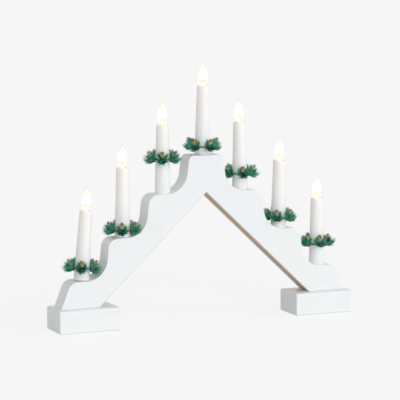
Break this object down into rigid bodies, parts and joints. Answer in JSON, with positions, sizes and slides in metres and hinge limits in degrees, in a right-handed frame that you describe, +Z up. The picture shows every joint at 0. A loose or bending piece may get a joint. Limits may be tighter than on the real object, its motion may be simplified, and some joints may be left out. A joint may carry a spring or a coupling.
{
  "type": "electric candle arch",
  "caption": "Stepped inverted-V board on block feet, carrying a rising row of tapered electric candles with clear pointed lamps and green wreath rings.",
  "frame": {"origin": "under the middle candle, on the surface that the feet stand on", "axes": "+X along the arch to the viewer's right, -Y out of the front, +Z up"},
  "size_m": [0.3712, 0.0464, 0.3032],
  "materials": {
    "painted_board": "white satin paint",
    "painted_foot": "white satin paint",
    "screw_steel": "zinc plated",
    "bare_strip": "bare hardboard",
    "pin_steel": "bright",
    "grommet_rubber": "matt white rubber",
    "socket_brass": "bright",
    "contact_brass": "bright",
    "lead_insulation": "white insulation",
    "candle_plastic": "slightly translucent white",
    "cap_brass": "bright",
    "bulb_glass": "clear",
    "hoop_green": "dark green",
    "needle_green": "emerald green",
    "cone_tan": "gold-tan with brown edges",
    "filament": "glowing wire on a glass stem"
  },
  "bodies": {
    "root": {"arch_board": "painted_board", "left_foot": "painted_foot", "right_foot": "painted_foot", "foot_screws": "screw_steel", "left_cover_strip": "bare_strip", "right_cover_strip": "bare_strip", "strip_pins": "pin_steel", "cord_grommet": "grommet_rubber", "socket_shells": "socket_brass", "socket_contacts": "contact_brass", "lamp_wiring": "lead_insulation", "candle_1": "candle_plastic", "candle_2": "candle_plastic", "candle_3": "candle_plastic", "candle_4": "candle_plastic", "candle_5": "candle_plastic", "candle_6": "candle_plastic", "candle_7": "candle_plastic"},
    "bulb_1": {"bulb_cap_1": "cap_brass", "bulb_glass_1": "bulb_glass", "bulb_filament_1": "filament"},
    "wreath_1": {"wreath_hoop_1": "hoop_green", "wreath_sprigs_1": "needle_green", "wreath_cones_1": "cone_tan"},
    "bulb_2": {"bulb_cap_2": "cap_brass", "bulb_glass_2": "bulb_glass", "bulb_filament_2": "filament"},
    "wreath_2": {"wreath_hoop_2": "hoop_green", "wreath_sprigs_2": "needle_green", "wreath_cones_2": "cone_tan"},
    "bulb_3": {"bulb_cap_3": "cap_brass", "bulb_glass_3": "bulb_glass", "bulb_filament_3": "filament"},
    "wreath_3": {"wreath_hoop_3": "hoop_green", "wreath_sprigs_3": "needle_green", "wreath_cones_3": "cone_tan"},
    "bulb_4": {"bulb_cap_4": "cap_brass", "bulb_glass_4": "bulb_glass", "bulb_filament_4": "filament"},
    "wreath_4": {"wreath_hoop_4": "hoop_green", "wreath_sprigs_4": "needle_green", "wreath_cones_4": "cone_tan"},
    "bulb_5": {"bulb_cap_5": "cap_brass", "bulb_glass_5": "bulb_glass", "bulb_filament_5": "filament"},
    "wreath_5": {"wreath_hoop_5": "hoop_green", "wreath_sprigs_5": "needle_green", "wreath_cones_5": "cone_tan"},
    "bulb_6": {"bulb_cap_6": "cap_brass", "bulb_glass_6": "bulb_glass", "bulb_filament_6": "filament"},
    "wreath_6": {"wreath_hoop_6": "hoop_green", "wreath_sprigs_6": "needle_green", "wreath_cones_6": "cone_tan"},
    "bulb_7": {"bulb_cap_7": "cap_brass", "bulb_glass_7": "bulb_glass", "bulb_filament_7": "filament"},
    "wreath_7": {"wreath_hoop_7": "hoop_green", "wreath_sprigs_7": "needle_green", "wreath_cones_7": "cone_tan"}
  },
  "joints": [
    {"name": "bulb_turn_1", "type": "hinge", "parent": "root", "child": "bulb_1", "pos_m": [-0.1448, 0, 0.13797], "axis": [0.075, 0, 0.9972], "range_deg": [0, 540]},
    {"name": "wreath_lift_1", "type": "slide", "parent": "root", "child": "wreath_1", "axis": [0.075, 0, 0.9972], "range_m": [0, 0.1011]},
    {"name": "bulb_turn_2", "type": "hinge", "parent": "root", "child": "bulb_2", "pos_m": [-0.0995, 0, 0.18508], "axis": [0.0087, 0, 1], "range_deg": [0, 540]},
    {"name": "wreath_lift_2", "type": "slide", "parent": "root", "child": "wreath_2", "axis": [0.0087, 0, 1], "range_m": [0, 0.1072]},
    {"name": "bulb_turn_3", "type": "hinge", "parent": "root", "child": "bulb_3", "pos_m": [-0.0498, 0, 0.233], "axis": [0, 0, 1], "range_deg": [0, 540]},
    {"name": "wreath_lift_3", "type": "slide", "parent": "root", "child": "wreath_3", "axis": [0, 0, 1], "range_m": [0, 0.0746]},
    {"name": "bulb_turn_4", "type": "hinge", "parent": "root", "child": "bulb_4", "pos_m": [0.00166, 0, 0.27664], "axis": [0.0157, 0, 0.9999], "range_deg": [0, 540]},
    {"name": "wreath_lift_4", "type": "slide", "parent": "root", "child": "wreath_4", "axis": [0.0157, 0, 0.9999], "range_m": [0, 0.1056]},
    {"name": "bulb_turn_5", "type": "hinge", "parent": "root", "child": "bulb_5", "pos_m": [0.04766, 0, 0.23309], "axis": [-0.0105, 0, 0.9999], "range_deg": [0, 540]},
    {"name": "wreath_lift_5", "type": "slide", "parent": "root", "child": "wreath_5", "axis": [-0.0105, 0, 0.9999], "range_m": [0, 0.0956]},
    {"name": "bulb_turn_6", "type": "hinge", "parent": "root", "child": "bulb_6", "pos_m": [0.09966, 0, 0.18513], "axis": [0.0157, 0, 0.9999], "range_deg": [0, 540]},
    {"name": "wreath_lift_6", "type": "slide", "parent": "root", "child": "wreath_6", "axis": [0.0157, 0, 0.9999], "range_m": [0, 0.1034]},
    {"name": "bulb_turn_7", "type": "hinge", "parent": "root", "child": "bulb_7", "pos_m": [0.1494, 0, 0.1375], "axis": [0, 0, 1], "range_deg": [0, 540]},
    {"name": "wreath_lift_7", "type": "slide", "parent": "root", "child": "wreath_7", "axis": [0, 0, 1], "range_m": [0, 0.09]}
  ]
}
